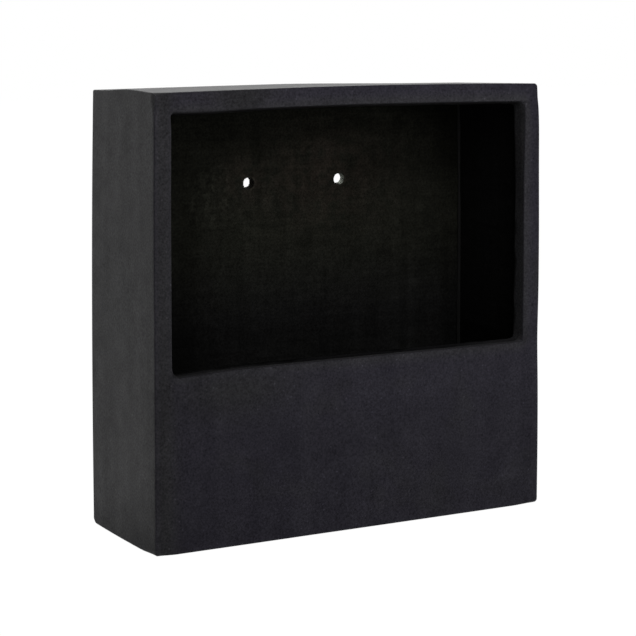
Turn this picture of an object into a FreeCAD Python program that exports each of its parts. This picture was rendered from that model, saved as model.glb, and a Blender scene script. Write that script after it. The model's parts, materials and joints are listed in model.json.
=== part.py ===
import FreeCAD, Part
import math
import os

import Sketcher

# Wall planter: a shallow square box of moulded stone, open through a large
# window in the upper front, with a planting trough behind the closed lower front.
# Frame: X across the front, centred; Y front to back, centred, front at -Y;
# Z up from the face that the planter stands on. Millimetres.

SIZES = [
    # alias, value, what it is
    ("width", 400.0, "across the front, measured at its corners"),
    ("depth", 134.0, "front face to back face"),
    ("height", 400.0, "base to the top's corners"),
    ("top_crown", 2.0, "rise of the top from its corners to its middle"),
    ("side_bow", 1.2, "swell of each side from its ends to its middle"),
    ("edge_round", 4.0, "radius of the outer edges"),
    ("rim_round", 1.5, "radius of the rim round the back"),
    ("side_wall", 8.0, "thickness of each side"),
    ("top_wall", 9.0, "thickness of the top"),
    ("floor_thickness", 12.0, "thickness of the base"),
    ("front_thickness", 15.0, "thickness of the front"),
    ("cavity_corner", 8.0, "radius of the inside corners"),
    ("window_side", 18.5, "frame on each side of the window, at the front face"),
    ("window_top", 17.0, "frame above the window"),
    ("sill_height", 158.0, "base to the window's lower edge"),
    ("window_corner", 6.0, "radius of the window's corners"),
    ("window_crown", 2.0, "rise of the window's upper edge"),
    ("window_draft", 1.5, "how far each side of the window closes in from front to back"),
    ("lip_round", 2.0, "radius of the window's front edge"),
    ("inner_lip_round", 1.5, "radius of the window's inner edge"),
    ("back_thickness", 9.0, "thickness of the back panel"),
    ("rebate_rim", 4.0, "rim left round the back panel's rebate"),
    ("bond_line", 0.3, "adhesive gap round the back panel's edge"),
    ("hole_diameter", 11.0, "holes for the wall screws"),
    ("hole_spacing", 98.0, "between the two holes"),
    ("hole_height", 308.0, "base to the holes"),
    ("hole_offset", 4.8, "midpoint of the holes, right of the centre line"),
    ("bead_size", 3.0, "leg of the sealing bead"),
]

SMALL = 1e-4


def make_sheet(doc):
    """Put the driving sizes in a sheet, one named cell each."""
    sheet = doc.addObject("Spreadsheet::Sheet", "Sizes")
    for row, (alias, value, meaning) in enumerate(SIZES, start=1):
        sheet.set(f"A{row}", meaning)
        sheet.set(f"B{row}", str(value))
        sheet.setAlias(f"B{row}", alias)
    doc.recompute()
    return sheet


def new_body(doc, label):
    body = doc.addObject("PartDesign::Body", label)
    body.Label = label
    body.Placement = FreeCAD.Placement()
    return body


def new_sketch(body, name, role, offset="0"):
    """A sketch on one of the body's own planes, moved along its normal."""
    sketch = body.newObject("Sketcher::SketchObject", name)
    plane = next(item for item in body.Origin.OriginFeatures if item.Role == role)
    sketch.AttachmentSupport = [(plane, "")]
    sketch.MapMode = "FlatFace"
    sketch.setExpression("AttachmentOffset.Base.z", offset)
    return sketch


def bind_constraint(sketch, formula, kind, *places):
    """Add a dimension that follows the sheet."""
    value = evaluate(sketch, formula)
    index = sketch.addConstraint(Sketcher.Constraint(kind, *places, value))
    sketch.setExpression(f"Constraints[{index}]", formula)


def evaluate(item, formula):
    """The present value of a formula on the sheet."""
    return float(item.evalExpression(formula))


def join(sketch, first, second):
    """The end of one line or arc meets the start of the next."""
    sketch.addConstraint(Sketcher.Constraint("Coincident", first, 2, second, 1))


def corner_points(sketch, half, low, high):
    """Lower left, lower right, upper right and upper left of an outline."""
    x = evaluate(sketch, half)
    bottom = evaluate(sketch, low)
    top = evaluate(sketch, high)
    return [
        FreeCAD.Vector(-x, bottom, 0),
        FreeCAD.Vector(x, bottom, 0),
        FreeCAD.Vector(x, top, 0),
        FreeCAD.Vector(-x, top, 0),
    ]


def bulged_side(sketch, start, end, rise):
    """An arc from start to end that stands out to the right of its chord."""
    chord = end.sub(start)
    outward = FreeCAD.Vector(chord.y, -chord.x, 0).normalize()
    middle = start.add(end).multiply(0.5).add(outward.multiply(evaluate(sketch, rise)))
    return sketch.addGeometry(Part.Arc(start, middle, end))


def arc_radius(chord, rise):
    """Radius of an arc over a chord with a given rise, as a formula."""
    return f"(({chord}) ^ 2 / 4 + ({rise}) ^ 2) / (2 * ({rise}))"


def place_corners(sketch, bottom, top_start, half, low, high):
    """Fix the outline's four corners from the centre line and the base.

    bottom is the lower edge, and top_start the piece whose start is the
    upper right corner and whose end is the upper left one.
    """
    for edge in (bottom, top_start):
        sketch.addConstraint(Sketcher.Constraint("Symmetric", edge, 1, edge, 2, -2))
    bind_constraint(sketch, half, "DistanceX", -1, 1, bottom, 2)
    bind_constraint(sketch, half, "DistanceX", -1, 1, top_start, 1)
    bind_constraint(sketch, low, "DistanceY", -1, 1, bottom, 2)
    bind_constraint(sketch, high, "DistanceY", -1, 1, top_start, 1)


def draw_crowned_outline(sketch, half, low, high, crown, bow=None):
    """A four-sided outline with a crowned top, and bowed or straight sides."""
    points = corner_points(sketch, half, low, high)
    lower_left, lower_right, upper_right, upper_left = points
    bottom = sketch.addGeometry(Part.LineSegment(lower_left, lower_right))
    if bow:
        right = bulged_side(sketch, lower_right, upper_right, bow)
    else:
        right = sketch.addGeometry(Part.LineSegment(lower_right, upper_right))
    top = bulged_side(sketch, upper_right, upper_left, crown)
    if bow:
        left = bulged_side(sketch, upper_left, lower_left, bow)
    else:
        left = sketch.addGeometry(Part.LineSegment(upper_left, lower_left))
    for first, second in ((bottom, right), (right, top), (top, left), (left, bottom)):
        join(sketch, first, second)
    place_corners(sketch, bottom, top, half, low, high)
    bind_constraint(sketch, arc_radius(f"2 * ({half})", crown), "Radius", top)
    if bow:
        side_radius = arc_radius(f"({high}) - ({low})", bow)
        bind_constraint(sketch, side_radius, "Radius", right)
        bind_constraint(sketch, side_radius, "Radius", left)


def draw_rounded_rectangle(sketch, half, low, high, radius):
    """A rectangle with four equal round corners, centred left to right."""
    corners = corner_points(sketch, half, low, high)
    bend = evaluate(sketch, radius)
    sides = []
    for start, end in zip(corners, corners[1:] + corners[:1]):
        along = end.sub(start).normalize()
        inset = FreeCAD.Vector(along).multiply(bend)
        sides.append(sketch.addGeometry(Part.LineSegment(start.add(inset), end.sub(inset))))
    turns = []
    for number, side in enumerate(sides):
        corner = corners[(number + 1) % 4]
        before = sketch.Geometry[side]
        after = sketch.Geometry[sides[(number + 1) % 4]]
        centre = before.EndPoint.add(after.StartPoint).sub(corner)
        first_angle = (number - 1) * math.pi / 2
        circle = Part.Circle(centre, FreeCAD.Vector(0, 0, 1), bend)
        arc = Part.ArcOfCircle(circle, first_angle, first_angle + math.pi / 2)
        turns.append(sketch.addGeometry(arc))
    for number, (side, turn) in enumerate(zip(sides, turns)):
        following = sides[(number + 1) % 4]
        sketch.addConstraint(Sketcher.Constraint("Tangent", side, 2, turn, 1))
        sketch.addConstraint(Sketcher.Constraint("Tangent", turn, 2, following, 1))
        level = "Horizontal" if number % 2 == 0 else "Vertical"
        sketch.addConstraint(Sketcher.Constraint(level, side))
    for turn in turns[1:]:
        sketch.addConstraint(Sketcher.Constraint("Equal", turns[0], turn))
    bottom, right, top, left = sides
    bind_constraint(sketch, radius, "Radius", turns[0])
    bind_constraint(sketch, half, "DistanceX", -1, 1, right, 1)
    bind_constraint(sketch, half, "DistanceX", left, 1, -1, 1)
    bind_constraint(sketch, low, "DistanceY", -1, 1, bottom, 1)
    bind_constraint(sketch, high, "DistanceY", -1, 1, top, 1)


def add_pad(body, name, sketch, length):
    pad = body.newObject("PartDesign::Pad", name)
    pad.Profile = sketch
    pad.setExpression("Length", length)
    body.Document.recompute()
    return pad


def add_pocket(body, name, sketch, length, reverse=False):
    """Cut a sketch into the body, and make sure that it did cut."""
    volume_before = body.Shape.Volume
    pocket = body.newObject("PartDesign::Pocket", name)
    pocket.Profile = sketch
    pocket.Reversed = reverse
    pocket.setExpression("Length", length)
    body.Document.recompute()
    if body.Shape.Volume > volume_before - 1:
        raise ValueError(f"{name} cuts nothing")
    return pocket


def add_fillet(body, name, radius, edges):
    """Round the listed edges of the body's present shape."""
    if not edges:
        raise ValueError(f"{name} has no edges")
    base = body.Tip
    fillet = body.newObject("PartDesign::Fillet", name)
    fillet.Base = (base, edges)
    fillet.setExpression("Radius", radius)
    body.Document.recompute()
    return fillet


def edges_along_depth(shape, length, drift=0):
    """Edges that run front to back over a length and shift aside by no more than the drift."""
    names = []
    for number, edge in enumerate(shape.Edges, start=1):
        span = edge.BoundBox
        is_along = max(span.XLength, span.ZLength) < drift + SMALL
        if is_along and abs(span.YLength - length) < SMALL:
            names.append(f"Edge{number}")
    return names


def edges_in_plane(shape, y, wanted):
    """Edges that lie in the plane at depth y and pass the wanted test."""
    names = []
    for number, edge in enumerate(shape.Edges, start=1):
        span = edge.BoundBox
        is_level = abs(span.YMin - y) < SMALL and abs(span.YMax - y) < SMALL
        if is_level and wanted(span):
            names.append(f"Edge{number}")
    return names


# Formulas that more than one piece uses.
FRONT_FACE = "Sizes.depth / 2"
BACK_FACE = "-Sizes.depth / 2"
PANEL_FACE = "Sizes.back_thickness - Sizes.depth / 2"
CAVITY_HALF = "Sizes.width / 2 - Sizes.side_wall"
CAVITY_LOW = "Sizes.floor_thickness"
CAVITY_HIGH = "Sizes.height - Sizes.top_wall"
REBATE_HALF = "Sizes.width / 2 - Sizes.rebate_rim"
REBATE_LOW = "Sizes.rebate_rim"
REBATE_HIGH = "Sizes.height - Sizes.rebate_rim"
REBATE_CORNER = "Sizes.cavity_corner"


def make_shell(doc):
    """The moulded box: front with its window, sides, top and base in one."""
    body = new_body(doc, "planter_shell")
    depth = evaluate(body, "Sizes.depth")
    front_y = -depth / 2
    back_y = depth / 2

    outline = new_sketch(body, "shell_outline", "XZ_Plane", BACK_FACE)
    draw_crowned_outline(
        outline, "Sizes.width / 2", "0", "Sizes.height", "Sizes.top_crown", "Sizes.side_bow"
    )
    add_pad(body, "shell_block", outline, "Sizes.depth")

    def any_edge(span):
        return True

    front_loop = edges_in_plane(body.Shape, front_y, any_edge)
    long_edges = edges_along_depth(body.Shape, depth)
    add_fillet(body, "outer_edges", "Sizes.edge_round", front_loop + long_edges)
    back_loop = edges_in_plane(body.Shape, back_y, any_edge)
    add_fillet(body, "back_rim", "Sizes.rim_round", back_loop)

    cavity = new_sketch(body, "cavity_outline", "XZ_Plane", BACK_FACE)
    draw_rounded_rectangle(cavity, CAVITY_HALF, CAVITY_LOW, CAVITY_HIGH, "Sizes.cavity_corner")
    add_pocket(body, "cavity", cavity, "Sizes.depth - Sizes.front_thickness", reverse=True)

    rebate = new_sketch(body, "rebate_outline", "XZ_Plane", BACK_FACE)
    draw_rounded_rectangle(rebate, REBATE_HALF, REBATE_LOW, REBATE_HIGH, REBATE_CORNER)
    add_pocket(body, "rebate", rebate, "Sizes.back_thickness", reverse=True)

    window = new_sketch(body, "window_outline", "XZ_Plane", FRONT_FACE)
    window_half = "Sizes.width / 2 - Sizes.window_side"
    window_high = "Sizes.height - Sizes.window_top"
    draw_crowned_outline(window, window_half, "Sizes.sill_height", window_high, "Sizes.window_crown")
    opening = add_pocket(body, "window", window, "Sizes.front_thickness")
    opening.setExpression("TaperAngle", "-atan(Sizes.window_draft / Sizes.front_thickness)")
    doc.recompute()

    front_thickness = evaluate(body, "Sizes.front_thickness")
    draft = evaluate(body, "Sizes.window_draft")
    corners = edges_along_depth(body.Shape, front_thickness, draft)
    add_fillet(body, "window_corners", "Sizes.window_corner", corners)

    opening_half = evaluate(body, window_half) + 1
    opening_low = evaluate(body, "Sizes.sill_height") - 1

    def round_the_window(span):
        inside = abs(span.XMin) < opening_half and abs(span.XMax) < opening_half
        return inside and span.ZMin > opening_low

    front_lip = edges_in_plane(body.Shape, front_y, round_the_window)
    add_fillet(body, "window_lip", "Sizes.lip_round", front_lip)
    inner_lip = edges_in_plane(body.Shape, front_y + front_thickness, round_the_window)
    add_fillet(body, "window_inner_lip", "Sizes.inner_lip_round", inner_lip)
    return body


def make_back_panel(doc):
    """The flat casting let into the back, with the two wall-screw holes."""
    body = new_body(doc, "back_panel")
    outline = new_sketch(body, "panel_outline", "XZ_Plane", BACK_FACE)
    draw_rounded_rectangle(
        outline,
        f"{REBATE_HALF} - Sizes.bond_line",
        f"{REBATE_LOW} + Sizes.bond_line",
        f"{REBATE_HIGH} - Sizes.bond_line",
        f"{REBATE_CORNER} - Sizes.bond_line",
    )
    add_pad(body, "panel_plate", outline, "Sizes.back_thickness")

    centres = new_sketch(body, "hole_centres", "XZ_Plane", PANEL_FACE)
    height = evaluate(body, "Sizes.hole_height")
    radius = evaluate(body, "Sizes.hole_diameter / 2")
    for side in (-1, 1):
        formula = f"Sizes.hole_offset + {side} * Sizes.hole_spacing / 2"
        across = evaluate(body, formula)
        middle = FreeCAD.Vector(across, height, 0)
        circle = centres.addGeometry(Part.Circle(middle, FreeCAD.Vector(0, 0, 1), radius))
        bind_constraint(centres, "Sizes.hole_diameter / 2", "Radius", circle)
        bind_constraint(centres, formula, "DistanceX", -1, 1, circle, 3)
        bind_constraint(centres, "Sizes.hole_height", "DistanceY", -1, 1, circle, 3)
    doc.recompute()
    add_pocket(body, "screw_holes", centres, "Sizes.back_thickness")
    return body


def make_seam_bead(doc):
    """The hollow-faced bead that seals the back panel to the box inside."""
    body = new_body(doc, "seam_bead")
    path = new_sketch(body, "bead_path", "XZ_Plane", PANEL_FACE)
    draw_rounded_rectangle(path, CAVITY_HALF, CAVITY_LOW, CAVITY_HIGH, "Sizes.cavity_corner")

    start = "Sizes.cavity_corner - Sizes.width / 2 + Sizes.side_wall"
    section = new_sketch(body, "bead_section", "YZ_Plane", start)
    panel_y = evaluate(body, "Sizes.depth / 2 - Sizes.back_thickness")
    floor_z = evaluate(body, CAVITY_LOW)
    leg = evaluate(body, "Sizes.bead_size")
    root = FreeCAD.Vector(panel_y, floor_z, 0)
    toe = FreeCAD.Vector(panel_y - leg, floor_z, 0)
    crest = FreeCAD.Vector(panel_y, floor_z + leg, 0)
    on_floor = section.addGeometry(Part.LineSegment(toe, root))
    on_panel = section.addGeometry(Part.LineSegment(root, crest))
    hollow = FreeCAD.Vector(
        panel_y - leg + leg * math.sin(math.pi / 4),
        floor_z + leg - leg * math.cos(math.pi / 4),
        0,
    )
    face = section.addGeometry(Part.Arc(toe, hollow, crest))
    sketch_add = section.addConstraint
    sketch_add(Sketcher.Constraint("Coincident", on_floor, 2, on_panel, 1))
    sketch_add(Sketcher.Constraint("Coincident", on_floor, 1, face, 1))
    sketch_add(Sketcher.Constraint("Coincident", on_panel, 2, face, 2))
    sketch_add(Sketcher.Constraint("Horizontal", on_floor))
    sketch_add(Sketcher.Constraint("Vertical", on_panel))
    sketch_add(Sketcher.Constraint("Equal", on_floor, on_panel))
    bind_constraint(section, "Sizes.bead_size", "Distance", on_floor)
    bind_constraint(section, "Sizes.bead_size", "Radius", face)
    bind_constraint(section, "Sizes.depth / 2 - Sizes.back_thickness", "DistanceX", -1, 1, on_floor, 2)
    bind_constraint(section, CAVITY_LOW, "DistanceY", -1, 1, on_floor, 2)
    doc.recompute()

    bead = body.newObject("PartDesign::AdditivePipe", "bead")
    bead.Profile = section
    bead.Spine = (path, [])
    doc.recompute()
    return body


def check_document(doc, pieces):
    """Stop if any feature failed or any piece isn't a sound solid."""
    for item in doc.Objects:
        bad = [state for state in item.State if state in ("Invalid", "Error")]
        if bad:
            raise ValueError(f"{item.Label} is {bad[0]}")
    for piece in pieces:
        shape = piece.Shape
        if shape.isNull() or not shape.isValid() or len(shape.Solids) != 1:
            raise ValueError(f"{piece.Label} is not one sound solid")


def main():
    doc = FreeCAD.newDocument("WallPlanter")
    make_sheet(doc)
    pieces = [make_shell(doc), make_back_panel(doc), make_seam_bead(doc)]
    doc.recompute()
    check_document(doc, pieces)
    os.makedirs("parts", exist_ok=True)
    for piece in pieces:
        piece.Shape.exportStep(f"parts/{piece.Label}.step")
        box = piece.Shape.BoundBox
        print(
            f"{piece.Label}: {piece.Shape.Volume / 1000:.1f} cm3, "
            f"{box.XLength:.1f} x {box.YLength:.1f} x {box.ZLength:.1f} mm"
        )


main()
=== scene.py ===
import json
import math

import bpy
import numpy as np
from mathutils import Matrix, Vector


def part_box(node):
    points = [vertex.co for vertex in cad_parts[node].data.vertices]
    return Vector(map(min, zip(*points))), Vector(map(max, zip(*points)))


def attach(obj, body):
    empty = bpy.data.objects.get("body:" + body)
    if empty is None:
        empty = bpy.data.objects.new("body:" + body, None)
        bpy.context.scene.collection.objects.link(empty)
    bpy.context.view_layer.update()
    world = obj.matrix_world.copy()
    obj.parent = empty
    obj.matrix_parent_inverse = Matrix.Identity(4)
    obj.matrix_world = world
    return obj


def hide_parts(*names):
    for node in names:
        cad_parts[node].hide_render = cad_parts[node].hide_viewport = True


# A wall planter of moulded fibre stone: a shallow box with a window in its upper
# front. Metres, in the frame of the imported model: X across, Y front to back, Z up.

MM = 0.001

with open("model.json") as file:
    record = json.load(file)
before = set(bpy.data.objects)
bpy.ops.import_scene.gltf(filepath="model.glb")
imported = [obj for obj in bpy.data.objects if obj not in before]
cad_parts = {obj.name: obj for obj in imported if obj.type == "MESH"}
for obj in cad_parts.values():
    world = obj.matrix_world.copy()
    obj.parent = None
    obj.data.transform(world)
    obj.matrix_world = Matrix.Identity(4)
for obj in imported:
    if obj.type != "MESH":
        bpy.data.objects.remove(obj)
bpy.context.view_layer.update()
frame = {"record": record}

# ---------------------------------------------------------------- sizes

SHELL_LOW, SHELL_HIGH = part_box("planter_shell")
PANEL_LOW, PANEL_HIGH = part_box("back_panel")
BEAD_LOW, BEAD_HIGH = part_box("seam_bead")

FRONT_Y = SHELL_LOW.y
BACK_Y = SHELL_HIGH.y
PANEL_Y = PANEL_LOW.y
CAVITY_HALF = BEAD_HIGH.x
CAVITY_LOW = BEAD_LOW.z
CAVITY_HIGH = BEAD_HIGH.z
CAVITY_CORNER = 8 * MM
BOND_LINE = 0.3 * MM
REBATE_HALF = PANEL_HIGH.x + BOND_LINE
REBATE_LOW = PANEL_LOW.z - BOND_LINE
REBATE_HIGH = PANEL_HIGH.z + BOND_LINE

HALF_WIDTH = 200 * MM
HEIGHT = 400 * MM
FRONT_THICKNESS = 15 * MM
INNER_FRONT_Y = FRONT_Y + FRONT_THICKNESS

TOP_LEFT_ROUND = 1.5 * MM
TOP_RIGHT_ROUND = 3.5 * MM
LEFT_ROUND = 1.2 * MM
RIGHT_ROUND = 2 * MM
TOP_ROUND = 1.2 * MM
BASE_ROUND = 1.2 * MM
RIM_ROUND = 1.0 * MM
INNER_ROUND = 4 * MM

WINDOW_HALF = 182.2 * MM
WINDOW_LOW = 156.9 * MM
WINDOW_HIGH = 383.6 * MM
UPPER_LEFT_CORNER = 4 * MM
LOWER_LEFT_CORNER = 8 * MM
UPPER_RIGHT_CORNER = 5 * MM
LOWER_RIGHT_CORNER = 7 * MM
LIP_ROUND = 0.8 * MM
INNER_LIP_ROUND = 1.5 * MM

HOLES = next(item for item in frame["record"]["mounts"] if item["name"] == "wall_holes")
HOLE_RADIUS = HOLES["dims"]["hole_r_mm"] * MM
HOLE_HEIGHT = HOLES["pos_m"][2]
HOLE_REACH = HOLES["dims"]["spacing_x_mm"] * MM / 2
HOLE_CENTRES = [HOLES["pos_m"][0] - HOLE_REACH, HOLES["pos_m"][0] + HOLE_REACH]
HOLE_LEANS = (-0.06, 0.14)
HOLE_OFFSETS = (0.5 * MM, -0.4 * MM)
HOLE_DROP = 0.25 * MM
HOLE_CLIMB = 0.11
HOLE_TAPER = 0.06


# ---------------------------------------------------------------- the sharp, straight box

def round_meet(first, second, radius):
    """Where two solids overlap, with their shared edge rounded."""
    corner = np.hypot(np.maximum(radius + first, 0), np.maximum(radius + second, 0))
    return np.minimum(-radius, np.maximum(first, second)) + corner


def round_join(first, second, radius):
    """Two solids as one, with the corner between them filled to a radius."""
    corner = np.hypot(np.maximum(radius - first, 0), np.maximum(radius - second, 0))
    return np.maximum(radius, np.minimum(first, second)) - corner


def smooth_step(value, start, end):
    share = np.clip((value - start) / (end - start), 0, 1)
    return share * share * (3 - 2 * share)


def swell(value, centre, reach):
    """A soft hump, 1 at the centre and near 0 two reaches away."""
    return np.exp(-((value - centre) / reach)**2)


def rounded_frame(x, z, half, low, high, radius):
    """A rectangle in the XZ plane with round corners."""
    across = np.abs(x) - half
    return round_meet(round_meet(across, z - high, radius), low - z, radius)


def outer_block(x, y, z):
    """The box, whose front edges differ in wear."""
    near_top = smooth_step(z, HEIGHT - 14 * MM, HEIGHT - 5 * MM)
    top_round = TOP_ROUND + 1.2 * MM * smooth_step(-x, 50 * MM, 130 * MM)
    side_round = np.where(x > 0, RIGHT_ROUND, LEFT_ROUND)
    knocked = smooth_step(-x, 180 * MM, 199 * MM) * smooth_step(z, HEIGHT - 28 * MM, HEIGHT - 6 * MM)
    front_round = side_round + (top_round - side_round) * near_top + 5 * MM * knocked
    shoulder = np.where(x > 0, TOP_RIGHT_ROUND, TOP_LEFT_ROUND)
    block = round_meet(np.abs(x) - HALF_WIDTH, z - HEIGHT, shoulder)
    block = round_meet(block, FRONT_Y - y, front_round)
    right_foot = smooth_step(x, 170 * MM, 196 * MM)
    left_foot = smooth_step(-x, 178 * MM, 198 * MM) * smooth_step(-y, 35 * MM, 62 * MM)
    block = round_meet(block, -z, BASE_ROUND + 3 * MM * right_foot + 3.5 * MM * left_foot)
    block = round_meet(block, y - BACK_Y, RIM_ROUND)
    low_round = 0.5 * MM + 8 * MM * smooth_step(-x, 165 * MM, 190 * MM)
    return np.maximum(block, round_meet(y - BACK_Y, -z, low_round))


def window_outline(x, z):
    """The window seen from the front, with a different radius in each corner."""
    upper = z > (WINDOW_LOW + WINDOW_HIGH) / 2
    right_corner = np.where(upper, UPPER_RIGHT_CORNER, LOWER_RIGHT_CORNER)
    left_corner = np.where(upper, UPPER_LEFT_CORNER, LOWER_LEFT_CORNER)
    corner = np.where(x > 0, right_corner, left_corner)
    return rounded_frame(x, z, WINDOW_HALF, WINDOW_LOW, WINDOW_HIGH, corner)


def lip_round(x, z):
    """The window's front edge: crisp at the sill, soft at the upper left."""
    upper = smooth_step(z, WINDOW_HIGH - 14 * MM, WINDOW_HIGH - 4 * MM)
    lower = 1 - smooth_step(z, WINDOW_LOW + 4 * MM, WINDOW_LOW + 14 * MM)
    worn = 2.6 * MM * swell(x, -165 * MM, 50 * MM)
    return LIP_ROUND + upper * worn - 0.5 * MM * lower


def shell_distance(x, y, z):
    """The shell: the box less its hollow, its window and the panel's rebate."""
    hollow = rounded_frame(x, z, CAVITY_HALF, CAVITY_LOW, CAVITY_HIGH, CAVITY_CORNER)
    hollow = round_meet(hollow, INNER_FRONT_Y - y, INNER_ROUND)
    rebate = rounded_frame(x, z, REBATE_HALF, REBATE_LOW, REBATE_HIGH, CAVITY_CORNER)
    rebate = np.maximum(rebate, PANEL_Y - y)
    window = np.maximum(window_outline(x, z), y)
    space = np.minimum(round_join(window, hollow, INNER_LIP_ROUND), rebate)
    edge = np.where(y < 0, lip_round(x, z), RIM_ROUND / 2)
    return round_meet(outer_block(x, y, z), -space, edge)


def hole_space(x, y, z, centre, number):
    """A hole drilled by hand: out of round, narrowing, and the right one askew."""
    depth = y - PANEL_Y
    aside = x - centre - HOLE_OFFSETS[number] - HOLE_LEANS[number] * depth
    above = z - HOLE_HEIGHT + HOLE_DROP - HOLE_CLIMB * (depth - 4 * MM)
    angle = np.arctan2(above, aside)
    uneven = 0.025 * np.sin(2 * angle + 1 + number) + 0.02 * np.sin(3 * angle + 2)
    narrowed = 0.1 * MM + HOLE_TAPER * depth
    return np.hypot(aside, above) - HOLE_RADIUS * (1 + uneven) + narrowed


def panel_distance(x, y, z):
    """The back panel: a flat plate with two drilled holes."""
    plate = rounded_frame(x, z, PANEL_HIGH.x, PANEL_LOW.z, PANEL_HIGH.z, CAVITY_CORNER)
    plate = round_meet(plate, PANEL_Y - y, 0.4 * MM)
    plate = round_meet(plate, y - BACK_Y, 0.4 * MM)
    for number, centre in enumerate(HOLE_CENTRES):
        plate = round_meet(plate, -hole_space(x, y, z, centre, number), 0.3 * MM)
    return plate


# ---------------------------------------------------------------- how the casting came out

BASE_FLARE = 0.8 * MM
SIDE_LEAN = 2.5 * MM
LEFT_BACK_LEAN = 5.2 * MM
LEAN_POWER = 2.2
TOP_CROWN = 1.9 * MM
TOP_TILT = 0.9 * MM
TOP_FALL = 1.8 * MM
TOP_RIGHT_FALL = 1.6 * MM
FRONT_HOLLOW = 0.4 * MM
SIDE_DRAFT = 0.8 * MM
SILL_DRAFT = 2.2 * MM
SOFFIT_DRAFT = 3.2 * MM


def ripple(x, y, z, wavelength, height, seed, waves=14):
    """Gentle unevenness: waves of about one length in all directions."""
    random = np.random.default_rng(seed)
    total = np.zeros_like(x)
    for _ in range(waves):
        direction = random.normal(size=3)
        direction /= np.linalg.norm(direction)
        stretch = 2 * math.pi / (wavelength * random.uniform(0.7, 1.5))
        phase = random.uniform(0, 2 * math.pi)
        total += np.sin((direction[0] * x + direction[1] * y + direction[2] * z) * stretch + phase)
    return total * height * math.sqrt(2 / waves)


def side_shift(x, y, z):
    """Sides that lean in toward the top, the left one most at its back.

    The left side also turns in toward the front, and the right one has dents.
    """
    share = np.clip(z / HEIGHT, 0, 1)
    depth = np.clip((y - FRONT_Y) / (BACK_Y - FRONT_Y), 0, 1)
    lean = SIDE_LEAN + (LEFT_BACK_LEAN - SIDE_LEAN) * np.where(x < 0, depth, 0)
    spread = BASE_FLARE + 0.35 * MM * depth - lean * share**LEAN_POWER
    dents = 0.35 * MM * swell(z, 262 * MM, 40 * MM) - 0.9 * MM * swell(z, 160 * MM, 36 * MM)
    dents = dents - 1.1 * MM * smooth_step(z, 350 * MM, HEIGHT)
    dents = dents - 1.6 * MM * smooth_step(z, 372 * MM, HEIGHT)
    spread = spread + 0.05 * MM * smooth_step(x, 0, HALF_WIDTH) * smooth_step(z, 0, 60 * MM)
    across = x / HALF_WIDTH
    toed = 1.5 * MM * (1 - depth) * (0.6 + 0.4 * smooth_step(z, 0, 60 * MM))
    toed += 0.3 * MM * (1 - np.clip((y - FRONT_Y) / (5 * MM), 0, 1))**2
    pinched = 1.5 * MM * swell(x, CAVITY_HALF, 5 * MM) * smooth_step(y, INNER_FRONT_Y, PANEL_Y)
    uneven = np.where(x > 0, across**8 * dents - pinched, across**40 * toed)
    return across * spread + uneven


def top_shift(x, y, z):
    """A top that is crowned and falls to the back, and a worn foot at the back left."""
    across = x / HALF_WIDTH
    depth = np.clip((y - FRONT_Y) / (BACK_Y - FRONT_Y), 0, 1)
    fall = TOP_FALL + TOP_RIGHT_FALL * smooth_step(x, -10 * MM, 150 * MM)
    rise = TOP_CROWN * (1 - across**2) * (1 - 0.5 * depth) - fall * depth
    rise = rise + TOP_TILT * np.minimum(across - 0.55 * across**3, 0)
    rise = rise + 2 * MM * swell(x, -HALF_WIDTH, 10 * MM) * swell(depth, 0.42, 0.28)
    low_corner = smooth_step(-x, 120 * MM, 195 * MM) * smooth_step(-z, -50 * MM, 0)
    return rise * smooth_step(z, 320 * MM, 378 * MM) + 1.8 * MM * low_corner * depth**3


def window_shift(x, y, z):
    """The window's draft and sags, as moves across and up."""
    inward = (y - FRONT_Y) / FRONT_THICKNESS
    draft = np.clip(inward, 0, 1) * (1 - smooth_step(inward, 1.2, 2.2))
    at_front = 1 - smooth_step(inward, 1.2, 2.2)
    at_side = swell(np.abs(x), WINDOW_HALF, 9 * MM)
    at_side = at_side * smooth_step(z, WINDOW_LOW - 12 * MM, WINDOW_LOW)
    waver = ripple(x, y, z, 60 * MM, 0.16 * MM, 5)
    flare = np.where(x > 0, smooth_step(z, 295 * MM, 370 * MM), 0) * at_front
    side_draft = SIDE_DRAFT + 1.5 * MM * smooth_step(-z, -320 * MM, -180 * MM)
    narrowed = draft * (side_draft + waver + 3.2 * MM * flare) - 1.8 * MM * flare
    across = -np.sign(x) * at_side * narrowed
    at_sill = swell(z, WINDOW_LOW, 14 * MM)
    at_soffit = swell(z, WINDOW_HIGH, 6 * MM)
    droop = 1.8 * MM * swell(x, -175 * MM, 9 * MM) + 1.6 * MM * swell(x, -158 * MM, 20 * MM)
    sag = 1.4 * MM * swell(x, -148 * MM, 38 * MM)
    up = at_sill * (draft * (SILL_DRAFT + waver) - at_front * droop)
    up = up - at_soffit * (draft * (SOFFIT_DRAFT + waver) + at_front * sag)
    return across, up


def front_shift(x, y, z):
    """A front that is faintly uneven, outside and in."""
    depth = np.clip((y - FRONT_Y) / (BACK_Y - FRONT_Y), 0, 1)
    uneven = FRONT_HOLLOW + ripple(x, y, z, 90 * MM, 0.12 * MM, 3)
    inner_waves = ripple(x, y, z, 45 * MM, 0.2 * MM, 7) * swell(y, INNER_FRONT_Y, 8 * MM)
    return uneven * (1 - depth)**4 + inner_waves


def as_cast(points):
    """Points of the straight box, moved to where the casting has them."""
    x, y, z = points.T
    across, up = window_shift(x, y, z)
    return points + np.stack([
        side_shift(x, y, z) + across,
        front_shift(x, y, z),
        top_shift(x, y, z) + up,
    ], axis=1)


# ---------------------------------------------------------------- meshes from distances

FINE_STEP = 1.0 * MM
COARSE_STEP = 5.5 * MM
EDGE_OFFSETS = [0.5 * MM, 1.1 * MM, 1.9 * MM, 3.0 * MM, 4.6 * MM, 7.0 * MM]


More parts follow.
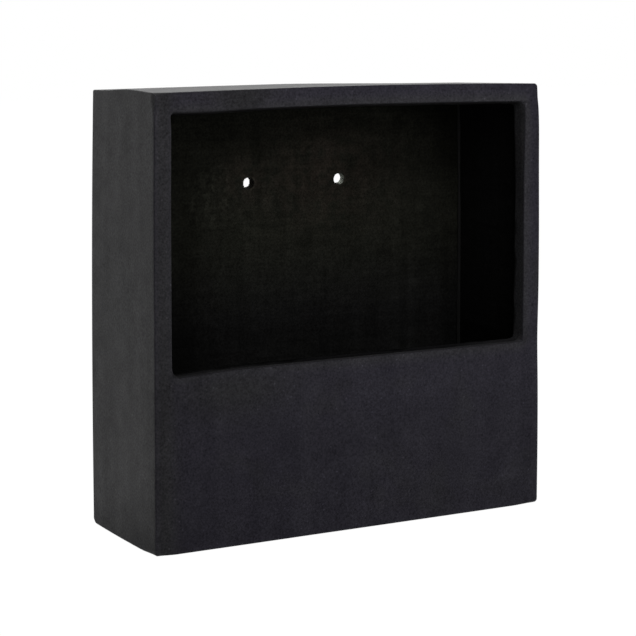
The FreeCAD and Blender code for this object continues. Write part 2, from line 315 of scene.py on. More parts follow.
def graded_lines(stops):
    """Grid lines through the stops, close beside them and wider between."""
    lines = [stops[0]]
    for start, end in zip(stops, stops[1:]):
        gap = end - start
        if gap < 2 * EDGE_OFFSETS[-1] + COARSE_STEP:
            count = max(1, round(gap / FINE_STEP))
            inside = [start + gap * step / count for step in range(1, count)]
        else:
            first = start + EDGE_OFFSETS[-1]
            last = end - EDGE_OFFSETS[-1]
            count = math.ceil((last - first) / COARSE_STEP)
            inside = [start + offset for offset in EDGE_OFFSETS]
            inside += [first + (last - first) * step / count for step in range(1, count)]
            inside += [end - offset for offset in reversed(EDGE_OFFSETS)]
        lines += inside + [end]
    return np.array(lines)


def add_fine_lines(lines, centres, reach, step):
    """Closer grid lines for a reach on each side of each centre."""
    for centre in centres:
        count = round(2 * reach / step)
        fine = centre - reach + np.arange(count + 1) * step
        lines = np.concatenate([lines[np.abs(lines - centre) > reach + step / 2], fine])
    return np.sort(lines)


def block_mesh(lines, is_solid):
    """Vertices and quads round the grid cells that are solid."""
    middles = [(axis[1:] + axis[:-1]) / 2 for axis in lines]
    solid = is_solid(*np.meshgrid(*middles, indexing="ij"))
    padded = np.pad(solid, 1)
    counts = [len(axis) for axis in lines]
    corners = []
    for axis in range(3):
        before = np.take(padded, range(padded.shape[axis] - 1), axis)
        after = np.take(padded, range(1, padded.shape[axis]), axis)
        for wall, turned in ((before & ~after, False), (~before & after, True)):
            places = np.argwhere(wall)
            others = [other for other in range(3) if other != axis]
            places[:, others] -= 1
            first, second = others if axis != 1 else others[::-1]
            if turned:
                first, second = second, first
            step_one = np.eye(3, dtype=int)[first]
            step_two = np.eye(3, dtype=int)[second]
            ring = (0 * step_one, step_one, step_one + step_two, step_two)
            corners.append(np.stack([places + step for step in ring], axis=1))
    quads = np.concatenate(corners)
    flat = (quads[..., 0] * counts[1] + quads[..., 1]) * counts[2] + quads[..., 2]
    used, faces = np.unique(flat, return_inverse=True)
    faces = faces.reshape(flat.shape)
    place = np.unravel_index(used, counts)
    points = np.stack([lines[axis][place[axis]] for axis in range(3)], axis=1)
    return points, faces


def settle(points, distance, rounds=12):
    """Move every point straight to the surface that the distance describes."""
    points = points.copy()
    reach = 0.02 * MM
    least_slope = 0.25
    for _ in range(rounds):
        slope = np.zeros_like(points)
        for axis in range(3):
            shift = np.zeros(3)
            shift[axis] = reach
            ahead = distance(*(points + shift).T)
            behind = distance(*(points - shift).T)
            slope[:, axis] = (ahead - behind) / (2 * reach)
        size = np.maximum((slope**2).sum(axis=1), least_slope)
        points -= slope * (distance(*points.T) / size)[:, None]
    return points


def make_piece(name, points, faces, node, material):
    """A smooth mesh that stands in for a node of the frame."""
    mesh = bpy.data.meshes.new(name)
    mesh.from_pydata(points.tolist(), [], faces.tolist())
    mesh.validate()
    mesh.polygons.foreach_set("use_smooth", [True] * len(mesh.polygons))
    mesh.materials.append(material)
    piece = bpy.data.objects.new(name, mesh)
    bpy.context.scene.collection.objects.link(piece)
    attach(piece, "root")
    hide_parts(node)
    return piece


def add_attribute(piece, name, values):
    """A value on every vertex for the materials to read."""
    attribute = piece.data.attributes.new(name, "FLOAT", "POINT")
    attribute.data.foreach_set("value", np.asarray(values, np.float32))


# ---------------------------------------------------------------- pieces

def make_shell(material):
    """The moulded box: front, sides, top and base in one."""
    lines = [
        graded_lines([
            -HALF_WIDTH, -REBATE_HALF, -CAVITY_HALF, -WINDOW_HALF,
            WINDOW_HALF, CAVITY_HALF, REBATE_HALF, HALF_WIDTH,
        ]),
        graded_lines([FRONT_Y, INNER_FRONT_Y, PANEL_Y, BACK_Y]),
        graded_lines([
            0, REBATE_LOW, CAVITY_LOW, WINDOW_LOW,
            WINDOW_HIGH, CAVITY_HIGH, REBATE_HIGH, HEIGHT,
        ]),
    ]

    def is_solid(x, y, z):
        hollow = (np.abs(x) < CAVITY_HALF) & (z > CAVITY_LOW) & (z < CAVITY_HIGH)
        hollow &= y > INNER_FRONT_Y
        rebate = (np.abs(x) < REBATE_HALF) & (z > REBATE_LOW) & (z < REBATE_HIGH)
        rebate &= y > PANEL_Y
        window = (np.abs(x) < WINDOW_HALF) & (z > WINDOW_LOW) & (z < WINDOW_HIGH)
        window &= y < INNER_FRONT_Y
        return ~(hollow | rebate | window)

    points, faces = block_mesh(lines, is_solid)
    points = settle(points, shell_distance)
    x, y, z = points.T
    piece = make_piece("shell", as_cast(points), faces, "planter_shell", material)
    sides = np.abs([np.abs(x) - HALF_WIDTH, z - HEIGHT, z, y - FRONT_Y, y - BACK_Y])
    second = np.sort(sides, axis=0)[1]
    outline = np.abs(window_outline(x, z))
    add_attribute(piece, "coat", shell_coat(x, y, z))
    add_attribute(piece, "edge", 1 - smooth_step(second, 1.5 * MM, 6 * MM))
    add_attribute(piece, "lip", 1 - smooth_step(outline, 1.5 * MM, 12 * MM))
    add_attribute(piece, "dull", shell_dullness(x, y, z))
    # Painted light and shade, for the materials to apply.
    add_attribute(piece, "painted_light_shade", shell_painted_light_shade(x, y, z, outline))
    add_attribute(piece, "grey", shell_greyness(x, y, z))


def on_sill(z):
    return 1 - smooth_step(z, WINDOW_LOW, WINDOW_LOW + 8 * MM)


def in_reveal(x, y, z):
    """1 on the window's own faces, from just behind its front edge."""
    inside = -outer_block(x, y, z)
    return smooth_step(y - FRONT_Y, 0.2 * MM, 0.9 * MM) * (inside > 5 * MM)


def shell_coat(x, y, z):
    """Where the coat was brushed: the inside, up to an uneven line at the window."""
    brushed = y + ripple(x, y, z, 30 * MM, 1.2 * MM, 21)
    brushed += 4 * MM * on_sill(z) * smooth_step(-x, 20 * MM, 130 * MM)
    coat = smooth_step(-outer_block(x, y, z), 2 * MM, 4 * MM)
    return coat * smooth_step(brushed, INNER_FRONT_Y - 4 * MM, INNER_FRONT_Y)


def shell_dullness(x, y, z):
    """Where the stone has lost its sheen: low down, and on the sill."""
    from_front = y - FRONT_Y
    depth = smooth_step(from_front, 20 * MM, 110 * MM)
    low = 1 - smooth_step(z / (75 * MM - 30 * MM * depth), -0.2, 1)
    behind = smooth_step(from_front, 0.5 * MM, 2.5 * MM)
    low_dullness = low * (0.10 + (0.60 - 0.14 * depth) * behind)
    return np.maximum(low_dullness, 0.45 * in_reveal(x, y, z) * on_sill(z))


def reveal_painted_shade(x, y, z):
    """Painted shade on the window's own faces: a dark sill, a darker soffit and sides dark at the
    top.
    """
    # The sill's painted shade: deepest in the middle, less at either end, and deeper near the front
    # edge.
    sill_tone = 0.30 + 0.32 * smooth_step(-x, -150 * MM, -105 * MM)
    sill_tone = sill_tone - 0.30 * smooth_step(-x, 70 * MM, 125 * MM)
    sill_tone = sill_tone + 0.24 * (1 - smooth_step(y - FRONT_Y, 4 * MM, 14 * MM))
    side_tone = 0.04 - 0.26 * smooth_step(z, 285 * MM, 345 * MM)
    on_soffit = smooth_step(z, WINDOW_HIGH - 8 * MM, WINDOW_HIGH)
    return side_tone - sill_tone * on_sill(z) - 0.45 * on_soffit


def shell_painted_light_shade(x, y, z, outline):
    """Painted light and shade on the shell, as how much paler or darker it is than its plain stone.
    """
    revealed = in_reveal(x, y, z)
    # Painted shade in the window's recess: its sill, soffit and sides.
    painted_light_shade = revealed * reveal_painted_shade(x, y, z)
    # Painted light on the stiles beside the window, more on the right one.
    on_stile = 1 - smooth_step(outline, 6 * MM, 18 * MM)
    on_stile = on_stile * (1 - revealed) * smooth_step(z, WINDOW_LOW, WINDOW_LOW + 20 * MM)
    painted_light_shade += on_stile * np.where(x > 0, 0.16, 0.07)
    # Painted light on the front below the sill and at the lower left.
    below_sill = smooth_step(z, 88 * MM, 130 * MM) * (z < WINDOW_LOW + 1 * MM)
    painted_light_shade += 0.20 * below_sill * smooth_step(x, -125 * MM, -75 * MM) * (1 - revealed)
    painted_light_shade += 0.09 * smooth_step(-x, 30 * MM, 110 * MM) * smooth_step(-z, -135 * MM, -80 * MM)
    # A paler left front edge, strongest near the top: partly wear, partly a painted highlight.
    from_edge = np.hypot(x + HALF_WIDTH, y - FRONT_Y)
    edge_tone = 0.12 + 0.60 * smooth_step(z, 366 * MM, 386 * MM)
    return painted_light_shade + (1 - smooth_step(from_edge, 2 * MM, 8 * MM)) * edge_tone


def shell_greyness(x, y, z):
    """Where the stone is grey and not violet: off the front, and in patches of it."""
    patch = swell(x, -120 * MM, 60 * MM) * swell(z, 140 * MM, 24 * MM)
    patch = np.maximum(patch, swell(x, -115 * MM, 35 * MM) * swell(z, 392 * MM, 30 * MM))
    patch = np.maximum(patch, swell(x, -190 * MM, 12 * MM))
    behind = smooth_step(y - FRONT_Y, 0.5 * MM, 2.5 * MM)
    return np.maximum(behind, 0.9 * patch)


def make_panel(material):
    """The flat casting that closes the back."""
    hole_reach = 9 * MM
    hole_step = 0.75 * MM
    across = graded_lines([-PANEL_HIGH.x, PANEL_HIGH.x])
    upward = graded_lines([PANEL_LOW.z, PANEL_HIGH.z])
    lines = [
        add_fine_lines(across, HOLE_CENTRES, hole_reach, hole_step),
        np.linspace(PANEL_Y, BACK_Y, 10),
        add_fine_lines(upward, [HOLE_HEIGHT], hole_reach, hole_step),
    ]

    def is_solid(x, y, z):
        reaches = [np.hypot(x - centre, z - HOLE_HEIGHT) for centre in HOLE_CENTRES]
        return np.min(reaches, axis=0) > HOLE_RADIUS

    points, faces = block_mesh(lines, is_solid)
    points = settle(points, panel_distance)
    x, y, z = points.T
    depth = y - PANEL_Y
    trowelled = FRONT_HOLLOW + ripple(x, y, z, 60 * MM, 0.12 * MM, 11)
    cast = as_cast(points)
    cast[:, 1] += trowelled * (1 - smooth_step(depth, 0, 4 * MM))
    piece = make_piece("panel", cast, faces, "back_panel", material)
    holes = [hole_space(x, y, z, centre, number) for number, centre in enumerate(HOLE_CENTRES)]
    nearest = np.min(holes, axis=0)
    # The holes' walls: raw stone, painted dark as the shade inside the holes.
    raw_wall_in_shade = (1 - smooth_step(nearest, 0, 0.7 * MM)) * smooth_step(depth, 0.3 * MM, 1.2 * MM)
    # Pale painted light on the right wall of the right hole, where light from behind falls on it.
    backlit_hole_wall = raw_wall_in_shade * smooth_step(x, HOLE_CENTRES[1], HOLE_CENTRES[1] + 2 * MM)
    chipped = swell(nearest, 0.8 * MM, 0.8 * MM)
    # A browner coat round the holes.
    brown_patch = swell(x, 40 * MM, 70 * MM) * swell(z, 312 * MM, 42 * MM)
    brown_patch = np.maximum(brown_patch, 0.7 * swell(x, -45 * MM, 30 * MM) * swell(z, 312 * MM, 26 * MM))
    bloom = swell(x, -85 * MM, 40 * MM) * swell(z, 300 * MM, 34 * MM)
    add_attribute(piece, "coat", 1 - smooth_step(depth, 7.5 * MM, 8.5 * MM))
    # Painted light and shade on the panel.
    add_attribute(piece, "painted_light_shade", panel_painted_light_shade(x, z))
    add_attribute(piece, "raw_wall_in_shade", raw_wall_in_shade)
    add_attribute(piece, "backlit_hole_wall", backlit_hole_wall)
    add_attribute(piece, "chipped", chipped)
    add_attribute(piece, "brown_patch", brown_patch)
    add_attribute(piece, "bloom", bloom)


def panel_painted_light_shade(x, z):
    """Painted light and shade on the back panel's brushed coat, place by place."""
    below_soffit_shade = smooth_step(-z, -345 * MM, -318 * MM)
    # Painted shadow of the left stile at the left end, below the shade under the soffit.
    painted_light_shade = -0.38 * smooth_step(-x, 66 * MM, 116 * MM) * below_soffit_shade
    # Painted light where the light through the window falls: in the middle, low down, near the top
    # and at the lower right.
    painted_light_shade += 0.12 * swell(x, -30 * MM, 50 * MM) * below_soffit_shade
    painted_light_shade += 0.20 * swell(x, 0, 60 * MM) * swell(z, 210 * MM, 24 * MM)
    painted_light_shade += 0.35 * swell(x, 45 * MM, 50 * MM) * swell(z, 340 * MM, 14 * MM)
    painted_light_shade += 0.15 * smooth_step(x, 90 * MM, 125 * MM) * smooth_step(-z, -225 * MM, -195 * MM)
    # Painted shade right of the middle and in the upper right corner, under the soffit and beside the
    # right stile.
    painted_light_shade -= 0.25 * smooth_step(x, 60 * MM, 90 * MM) * swell(z, 320 * MM, 14 * MM)
    painted_light_shade -= 0.35 * smooth_step(x, 130 * MM, 185 * MM) * smooth_step(z, 300 * MM, 340 * MM)
    # Painted light along the top rows, except at the right end.
    painted_light_shade += 0.80 * smooth_step(z, 354 * MM, 374 * MM) * smooth_step(-x, -150 * MM, -90 * MM)
    # Painted shade low down, just above the sill.
    return painted_light_shade - 0.18 * smooth_step(-z, -188 * MM, -160 * MM)


ARC_STEPS = 8
BEAD_STEPS = 70
BEAD_SECTION = [(0, 0), (0, 1), (0.25, 0.57), (0.57, 0.25), (1, 0)]


def bead_path(count):
    """Points and outward directions round the hollow's inside corner."""
    half = CAVITY_HALF - CAVITY_CORNER
    low = CAVITY_LOW + CAVITY_CORNER
    high = CAVITY_HIGH - CAVITY_CORNER
    turns = ((half, low, -90), (half, high, 0), (-half, high, 90), (-half, low, 180))
    path = []
    for number, (x, z, start) in enumerate(turns):
        for step in range(ARC_STEPS + 1):
            angle = math.radians(start + step * 90 / ARC_STEPS)
            path.append((x, z, math.cos(angle), math.sin(angle)))
        next_x, next_z, _ = turns[(number + 1) % 4]
        out = path[-1][2:]
        for step in range(1, count):
            share = step / count
            path.append((x + (next_x - x) * share, z + (next_z - z) * share, *out))
    return np.array(path)


def make_bead(material):
    """Hand-run resin in the corner between the hollow's walls and the panel."""
    centre_x, centre_z, out_x, out_z = bead_path(BEAD_STEPS).T
    x = centre_x + CAVITY_CORNER * out_x
    z = centre_z + CAVITY_CORNER * out_z
    size = BEAD_HIGH.y - BEAD_LOW.y
    width = size * 0.75 + ripple(x, 0 * x, z, 40 * MM, 0.14 * size, 31)
    width = np.clip(width, 0.45 * size, size)
    rings = []
    for inward, forward in BEAD_SECTION:
        rings.append(np.stack([
            x - out_x * inward * width,
            PANEL_Y - forward * width,
            z - out_z * inward * width,
        ], axis=1))
    points = np.stack(rings, axis=1).reshape(-1, 3)
    count = len(x)
    sides = len(BEAD_SECTION)
    faces = []
    for step in range(count):
        here = step * sides
        after = (step + 1) % count * sides
        for side in range(sides):
            other = (side + 1) % sides
            faces.append([here + side, here + other, after + other, after + side])
    make_piece("bead", as_cast(points), np.array(faces), "seam_bead", material)


# ---------------------------------------------------------------- materials

class Recipe:
    """A material in the making: each call adds a node and gives its output."""

    def __init__(self, name):
        self.material = bpy.data.materials.new(name)
        self.material.use_nodes = True
        self.nodes = self.material.node_tree.nodes
        self.links = self.material.node_tree.links
        self.shader = self.nodes["Principled BSDF"]
        self.place = self.nodes.new("ShaderNodeTexCoord").outputs["Object"]

    def feed(self, socket, value):
        """Give a socket a number, a colour or another node's output."""
        if isinstance(value, bpy.types.NodeSocket):
            self.links.new(value, socket)
        elif isinstance(value, tuple) and len(socket.default_value) == 4:
            socket.default_value = (*value, 1)
        else:
            socket.default_value = value

    def math(self, operation, *values):
        node = self.nodes.new("ShaderNodeMath")
        node.operation = operation
        for socket, value in zip(node.inputs, values):
            self.feed(socket, value)
        return node.outputs[0]

    def attribute(self, name):
        node = self.nodes.new("ShaderNodeAttribute")
        node.attribute_name = name
        return node.outputs["Fac"]

    def step(self, value, start, end):
        """0 before the start, 1 after the end and a soft step between."""
        node = self.nodes.new("ShaderNodeMapRange")
        node.interpolation_type = "SMOOTHSTEP"
        self.feed(node.inputs["Value"], value)
        node.inputs["From Min"].default_value = start
        node.inputs["From Max"].default_value = end
        return node.outputs["Result"]

    def height(self):
        """The place above the base."""
        node = self.nodes.new("ShaderNodeSeparateXYZ")
        self.links.new(self.place, node.inputs[0])
        return node.outputs["Z"]

    def near(self, point, reach):
        """1 at a point of the planter, fading to 0 a reach away."""
        node = self.nodes.new("ShaderNodeVectorMath")
        node.operation = "DISTANCE"
        self.links.new(self.place, node.inputs[0])
        node.inputs[1].default_value = point
        return self.step(node.outputs["Value"], reach, 0)

    def stretched(self, stretch):
        node = self.nodes.new("ShaderNodeVectorMath")
        node.operation = "MULTIPLY"
        self.links.new(self.place, node.inputs[0])
        node.inputs[1].default_value = stretch
        return node.outputs["Vector"]

    def noise(self, scale, detail, stretch=(1, 1, 1)):
        """Noise round a half, its scale in lumps per metre."""
        node = self.nodes.new("ShaderNodeTexNoise")
        self.links.new(self.stretched(stretch), node.inputs["Vector"])
        node.inputs["Scale"].default_value = scale
        node.inputs["Detail"].default_value = detail
        return node.outputs["Fac"]

    def spots(self, scale, radius, share, shift=0.0):
        """Round spots in a share of the cells, the scale in cells per metre."""
        moved = self.nodes.new("ShaderNodeVectorMath")
        self.links.new(self.place, moved.inputs[0])
        moved.inputs[1].default_value = (shift, shift, shift)
        node = self.nodes.new("ShaderNodeTexVoronoi")
        self.links.new(moved.outputs[0], node.inputs["Vector"])
        node.inputs["Scale"].default_value = scale
        chance = self.nodes.new("ShaderNodeSeparateColor")
        self.links.new(node.outputs["Color"], chance.inputs[0])
        size = self.math("MULTIPLY", chance.outputs["Green"], radius * scale)
        inside = self.math("SUBTRACT", self.math("MULTIPLY", size, 1.6), node.outputs["Distance"])
        spot = self.step(inside, 0, 0.6 * radius * scale)
        chosen = self.step(chance.outputs["Red"], 1 - share - 0.01, 1 - share)
        return self.math("MULTIPLY", spot, chosen)

    def around_one(self, value, amount):
        """Noise turned into a factor that varies round 1."""
        return self.math("MULTIPLY_ADD", value, 2 * amount, 1 - amount)

    def product(self, *values):
        total = values[0]
        for value in values[1:]:
            total = self.math("MULTIPLY", total, value)
        return total

    def mix(self, share, first, second):
        node = self.nodes.new("ShaderNodeMix")
        node.data_type = "RGBA"
        self.feed(node.inputs["Factor"], share)
        self.feed(node.inputs["A"], first)
        self.feed(node.inputs["B"], second)
        return node.outputs["Result"]

    def scaled(self, colour, factor):
        node = self.nodes.new("ShaderNodeVectorMath")
        node.operation = "SCALE"
        self.feed(node.inputs[0], colour)
        self.feed(node.inputs["Scale"], factor)
        return node.outputs["Vector"]

    def finish(self, colour, roughness, relief, relief_height, gloss):
        """Feed the shader and give the material."""
        self.feed(self.shader.inputs["Base Color"], colour)
        self.feed(self.shader.inputs["Roughness"], roughness)
        self.feed(self.shader.inputs["Specular IOR Level"], gloss)
        bump = self.nodes.new("ShaderNodeBump")
        bump.inputs["Distance"].default_value = relief_height
        self.feed(bump.inputs["Height"], relief)
        self.links.new(bump.outputs["Normal"], self.shader.inputs["Normal"])
        return self.material


STONE = (0.0184, 0.0171, 0.0235)
STONE_GREY = (0.0202, 0.0199, 0.0213)
COAT = (0.0110, 0.0113, 0.0088)
COAT_GREY = (0.0066, 0.0066, 0.0065)
COAT_BROWN = (0.0172, 0.0142, 0.0114)
# Raw stone inside the holes, painted dark as their shade.
RAW_STONE_IN_SHADE = (0.0075, 0.0062, 0.0046)
# Pale painted light on a hole wall that light from behind falls on.
BACKLIT_HOLE_WALL = (0.56, 0.60, 0.52)
STONE_ROUGHNESS = 0.52
STONE_GLOSS = 0.12
COAT_ROUGHNESS = 0.85
COAT_GLOSS = 0.04
STONE_RELIEF = 0.5 * MM
RESIN = (0.0125, 0.0125, 0.0122)
RESIN_ROUGHNESS = 0.6
RESIN_GLOSS = 0.1
RESIN_RELIEF = 0.3 * MM


def make_stone(name):
    """Moulded stone, clouded, speckled and pored, with a dark coat inside."""
    recipe = Recipe(name)
    grain = recipe.noise(560, 2)
    blotches = recipe.noise(55, 4)
    streaks = recipe.noise(45, 3, stretch=(1, 1, 0.1))
    # A factor round 1 for the painted light and shade that each piece carries.
    painted_light_shade = recipe.math("ADD", recipe.attribute("painted_light_shade"), 1)
    pores = recipe.spots(42, 0.8 * MM, 0.35, shift=0.7)
    stone = stone_colour(recipe, grain, blotches, streaks, painted_light_shade, pores)
    coat = coat_colour(recipe, grain, painted_light_shade)
    coated = recipe.attribute("coat")
    colour = recipe.mix(coated, stone, coat)
    # The holes' walls painted dark as their shade.
    colour = recipe.mix(recipe.attribute("raw_wall_in_shade"), colour, RAW_STONE_IN_SHADE)
    # Pale painted light on the right hole's back-lit wall.
    backlit_hole_wall = recipe.math("MULTIPLY", recipe.attribute("backlit_hole_wall"), recipe.step(grain, 0.30, 0.60))
    colour = recipe.mix(backlit_hole_wall, colour, BACKLIT_HOLE_WALL)

    roughness = recipe.math("MULTIPLY_ADD", coated, COAT_ROUGHNESS - STONE_ROUGHNESS, STONE_ROUGHNESS)
    gloss = recipe.math("MULTIPLY_ADD", coated, COAT_GLOSS - STONE_GLOSS, STONE_GLOSS)
    gloss = recipe.product(
        gloss,
        recipe.around_one(blotches, 0.5),
        recipe.around_one(streaks, 0.45),
        recipe.around_one(grain, 0.7),
        recipe.math("MULTIPLY_ADD", pores, -0.8, 1),
        recipe.math("SUBTRACT", 1, recipe.attribute("dull")),
    )
    relief = recipe.math("MULTIPLY_ADD", grain, 0.14, recipe.math("MULTIPLY", blotches, 0.3))
    relief = recipe.math("MULTIPLY_ADD", pores, -0.6, relief)
    return recipe.finish(colour, roughness, relief, STONE_RELIEF, gloss)


def stone_colour(recipe, grain, blotches, streaks, painted_light_shade, pores):
    """Violet-grey stone with greyer patches, pale specks and dark ones."""
    lip = recipe.attribute("lip")
    edge = recipe.attribute("edge")
    cloudy = recipe.step(recipe.noise(16, 3), 0.50, 0.75)
    grey = recipe.math("MAXIMUM", recipe.attribute("grey"), recipe.math("MULTIPLY", cloudy, 0.5))
    # Greyer along the window's front edge, with the painted highlight there.
    grey = recipe.math("MAXIMUM", grey, recipe.math("MULTIPLY", lip, 0.7))
    specks = recipe.spots(300, 0.7 * MM, 0.22)
    dark_specks = recipe.spots(270, 0.8 * MM, 0.25, shift=0.5)
    flecks = recipe.spots(60, 0.7 * MM, 0.12, shift=0.2)
    smudge = recipe.near((-112 * MM, FRONT_Y, 391 * MM), 32 * MM)
    stroke = recipe.near((-101 * MM, FRONT_Y, 388 * MM), 6 * MM)
    for across, up in ((-96, 392), (-90, 397)):
        stroke = recipe.math("MAXIMUM", stroke, recipe.near((across * MM, FRONT_Y, up * MM), 6 * MM))
    tone = recipe.product(
        painted_light_shade,
        recipe.around_one(recipe.noise(9, 2), 0.14),
        recipe.around_one(blotches, 0.16),
        recipe.around_one(streaks, 0.10),
        recipe.around_one(grain, 0.75),
        recipe.math("MULTIPLY_ADD", specks, 0.7, 1),
        recipe.math("MULTIPLY_ADD", dark_specks, -0.4, 1),
        recipe.math("MULTIPLY_ADD", flecks, 0.9, 1),
        recipe.math("MULTIPLY_ADD", pores, -0.6, 1),
        recipe.math("MULTIPLY_ADD", recipe.math("MULTIPLY", edge, blotches), 0.14, 1),
        # Paler along the window's front edge: a painted highlight where the lip catches the light.
        recipe.math("MULTIPLY_ADD", lip, 0.14, 1),
        recipe.math("MULTIPLY_ADD", smudge, -0.28, 1),
        recipe.math("MULTIPLY_ADD", stroke, -0.30, 1),
    )
    return recipe.scaled(recipe.mix(grey, STONE, STONE_GREY), tone)


def coat_colour(recipe, grain, painted_light_shade):
    """A brushed-on coat: olive above, grey low down, brown round the holes, and painted shade near
    the top.
    """
    mottle = recipe.noise(110, 6)
    # Darker grey coat low down and on the shell's inside: partly the coat's own grey, partly painted
    # shade in the hollow.
    low = recipe.step(recipe.height(), 270 * MM, 170 * MM)
    low = recipe.math("MAXIMUM", low, recipe.attribute("grey"))
    coat = recipe.mix(low, COAT, COAT_GREY)
    browned = recipe.math("MULTIPLY", recipe.attribute("brown_patch"), recipe.step(mottle, 0.25, 0.65))
    coat = recipe.mix(browned, coat, COAT_BROWN)
    # Painted shade near the top, under the soffit.
    high = recipe.step(recipe.height(), 325 * MM, 365 * MM)
    bloom = recipe.attribute("bloom")
    bloom = recipe.math("MULTIPLY", bloom, recipe.step(recipe.noise(190, 4), 0.48, 0.62))
    flecks = recipe.spots(45, 0.6 * MM, 0.10, shift=0.3)
    tone = recipe.product(
        painted_light_shade,
        recipe.math("MULTIPLY_ADD", high, -0.15, 1),
        recipe.around_one(mottle, 0.34),
        recipe.around_one(recipe.noise(18, 4, stretch=(1, 1, 12)), 0.36),
        recipe.around_one(recipe.noise(110, 4, stretch=(1, 1, 0.1)), 0.34),
        recipe.around_one(grain, 0.85),
        recipe.math("MULTIPLY_ADD", bloom, 0.6, 1),
        recipe.math("MULTIPLY_ADD", recipe.attribute("chipped"), 0.5, 1),
        recipe.math("MULTIPLY_ADD", flecks, 1.2, 1),
    )
    return recipe.scaled(coat, tone)


def make_resin(name):
    """Sealing resin with dust in it, wiped by hand."""
    recipe = Recipe(name)
    smears = recipe.noise(50, 3)
    dust = recipe.noise(700, 2)
    tone = recipe.product(recipe.around_one(smears, 0.3), recipe.around_one(dust, 0.3))
    colour = recipe.scaled(RESIN, tone)
    roughness = recipe.math("MULTIPLY_ADD", smears, 0.2, RESIN_ROUGHNESS)
    return recipe.finish(colour, roughness, smears, RESIN_RELIEF, RESIN_GLOSS)


# ---------------------------------------------------------------- camera, light, floor

CAMERA_PLACE = Vector((-0.9159, -1.6367, 0.4734))
CAMERA_YAW = math.radians(29.176)
CAMERA_PITCH = math.radians(-6.565)
CAMERA_ROLL = math.radians(-0.097)
FOCAL_PIXELS = 2046.2
PICTURE_PIXELS = 636
AXIS_ROW = 240
SENSOR = 36


def make_camera():
    """A long lens to the left of the planter and a little above its top."""
    flat = math.cos(CAMERA_PITCH)
    ahead = Vector((math.sin(CAMERA_YAW) * flat, math.cos(CAMERA_YAW) * flat, math.sin(CAMERA_PITCH)))
    level = Vector((math.cos(CAMERA_YAW), -math.sin(CAMERA_YAW), 0))
    upright = level.cross(ahead)
    right = level * math.cos(CAMERA_ROLL) + upright * math.sin(CAMERA_ROLL)
    up = upright * math.cos(CAMERA_ROLL) - level * math.sin(CAMERA_ROLL)
    lens = bpy.data.cameras.new("camera")
    lens.sensor_width = SENSOR
    lens.lens = FOCAL_PIXELS / PICTURE_PIXELS * SENSOR
    lens.shift_y = (AXIS_ROW - PICTURE_PIXELS / 2) / PICTURE_PIXELS
    camera = bpy.data.objects.new("camera", lens)
    turn = Matrix((right, up, -ahead)).transposed().to_4x4()
    camera.matrix_world = Matrix.Translation(CAMERA_PLACE) @ turn
    bpy.context.scene.collection.objects.link(camera)
    bpy.context.scene.camera = camera


def make_lamp(name, azimuth, elevation, distance, width, height, strength):
    """A soft lamp that looks at the planter's middle from a direction."""
    across, up = math.radians(azimuth), math.radians(elevation)
    target = Vector((0, 0, HEIGHT / 2))
    back = Vector((math.sin(across) * math.cos(up), -math.cos(across) * math.cos(up), math.sin(up)))
    light = bpy.data.lights.new(name, "AREA")
    light.shape = "RECTANGLE"
    light.size = width
    light.size_y = height
    light.energy = strength * (math.pi * distance)**2
    lamp = bpy.data.objects.new(name, light)
    lamp.location = target + back * distance
    lamp.rotation_mode = "QUATERNION"
    lamp.rotation_quaternion = back.to_track_quat("Z", "Y")
    lamp.visible_camera = False
    lamp.visible_glossy = False
    bpy.context.scene.collection.objects.link(lamp)
    return lamp


KEY_STRENGTH = 0.77
RIM_STRENGTH = 0.14
WORLD_BEHIND = 0.77
WORLD_BEFORE = 0.09
SWEEP_START = -0.2
SWEEP_END = 0.5


def make_lights():
    """A key lamp before the window, and a weak one behind that shows on the top."""
    make_lamp(
        "key", azimuth=7, elevation=29, distance=0.82,
        width=0.7, height=0.5, strength=KEY_STRENGTH,
    )
    rim = make_lamp(
        "rim", azimuth=150, elevation=30, distance=1.6,
        width=1.2, height=0.6, strength=RIM_STRENGTH,
    )
    rim.visible_glossy = True


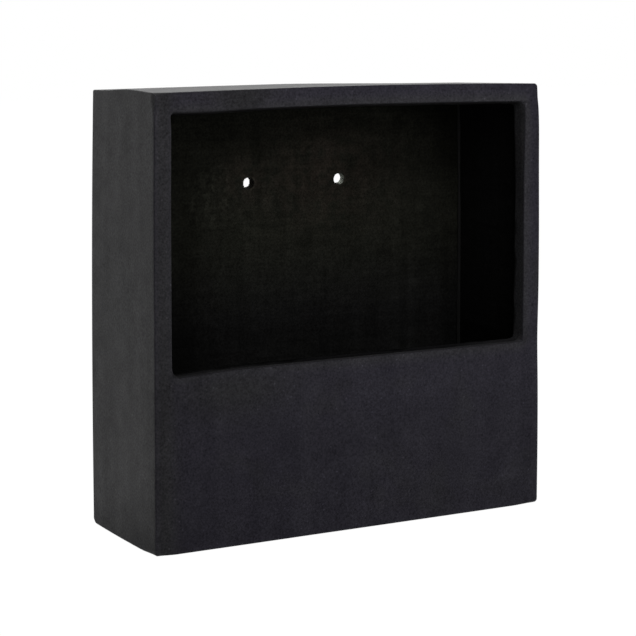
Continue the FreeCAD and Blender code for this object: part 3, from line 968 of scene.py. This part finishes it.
def make_world():
    """A white sweep behind the planter and a dim room before it."""
    world = bpy.data.worlds.new("studio")
    world.use_nodes = True
    bpy.context.scene.world = world
    nodes, links = world.node_tree.nodes, world.node_tree.links
    place = nodes.new("ShaderNodeTexCoord")
    split = nodes.new("ShaderNodeSeparateXYZ")
    links.new(place.outputs["Generated"], split.inputs[0])
    behind = nodes.new("ShaderNodeMapRange")
    behind.interpolation_type = "SMOOTHSTEP"
    links.new(split.outputs["Y"], behind.inputs["Value"])
    behind.inputs["From Min"].default_value = SWEEP_START
    behind.inputs["From Max"].default_value = SWEEP_END

    def combine(operation, *values):
        node = nodes.new("ShaderNodeMath")
        node.operation = operation
        for socket, value in zip(node.inputs, values):
            if isinstance(value, bpy.types.NodeSocket):
                links.new(value, socket)
            else:
                socket.default_value = value
        return node.outputs[0]

    path = nodes.new("ShaderNodeLightPath").outputs
    sweep = behind.outputs["Result"]
    light = combine("MULTIPLY_ADD", sweep, WORLD_BEHIND - WORLD_BEFORE, WORLD_BEFORE)
    mirrored = combine("MULTIPLY", path["Is Glossy Ray"], sweep)
    shown = combine("MAXIMUM", path["Is Camera Ray"], path["Is Transmission Ray"])
    strength = combine("MAXIMUM", combine("MAXIMUM", shown, mirrored), light)
    links.new(strength, nodes["Background"].inputs["Strength"])
    nodes["Background"].inputs["Color"].default_value = (1, 1, 1, 1)


FLOOR_COLOUR = 0.18
FLOOR_GLOW = 1.08
FLOOR_GLOW_SHARE = 0.93
FLOOR_REACH = 8


def make_floor():
    """A pale floor that the camera sees as nearly white, with a faint shadow."""
    mesh = bpy.data.meshes.new("floor")
    corners = [(-1, -1), (1, -1), (1, 1), (-1, 1)]
    places = [(x * FLOOR_REACH, y * FLOOR_REACH, 0) for x, y in corners]
    mesh.from_pydata(places, [], [(0, 1, 2, 3)])
    floor = bpy.data.objects.new("floor", mesh)
    bpy.context.scene.collection.objects.link(floor)
    floor.visible_shadow = False
    material = bpy.data.materials.new("floor")
    material.use_nodes = True
    nodes, links = material.node_tree.nodes, material.node_tree.links
    nodes.clear()
    output = nodes.new("ShaderNodeOutputMaterial")
    diffuse = nodes.new("ShaderNodeBsdfDiffuse")
    diffuse.inputs["Color"].default_value = (FLOOR_COLOUR, FLOOR_COLOUR, FLOOR_COLOUR, 1)
    glow = nodes.new("ShaderNodeEmission")
    glow.inputs["Strength"].default_value = FLOOR_GLOW
    path = nodes.new("ShaderNodeLightPath")
    share = nodes.new("ShaderNodeMath")
    share.operation = "MULTIPLY"
    share.inputs[1].default_value = FLOOR_GLOW_SHARE
    shown = nodes.new("ShaderNodeMath")
    shown.operation = "MAXIMUM"
    links.new(path.outputs["Is Camera Ray"], shown.inputs[0])
    links.new(path.outputs["Is Glossy Ray"], shown.inputs[1])
    links.new(shown.outputs[0], share.inputs[0])
    mix = nodes.new("ShaderNodeMixShader")
    links.new(share.outputs[0], mix.inputs["Fac"])
    links.new(diffuse.outputs[0], mix.inputs[1])
    links.new(glow.outputs[0], mix.inputs[2])
    links.new(mix.outputs[0], output.inputs["Surface"])
    mesh.materials.append(material)


def main():
    make_shell(make_stone("fibre_stone"))
    make_panel(make_stone("coated_fibre_stone"))
    make_bead(make_resin("seam_resin"))
    make_camera()
    make_lights()
    make_world()
    make_floor()
    bpy.context.scene.view_settings.view_transform = "Standard"


main()
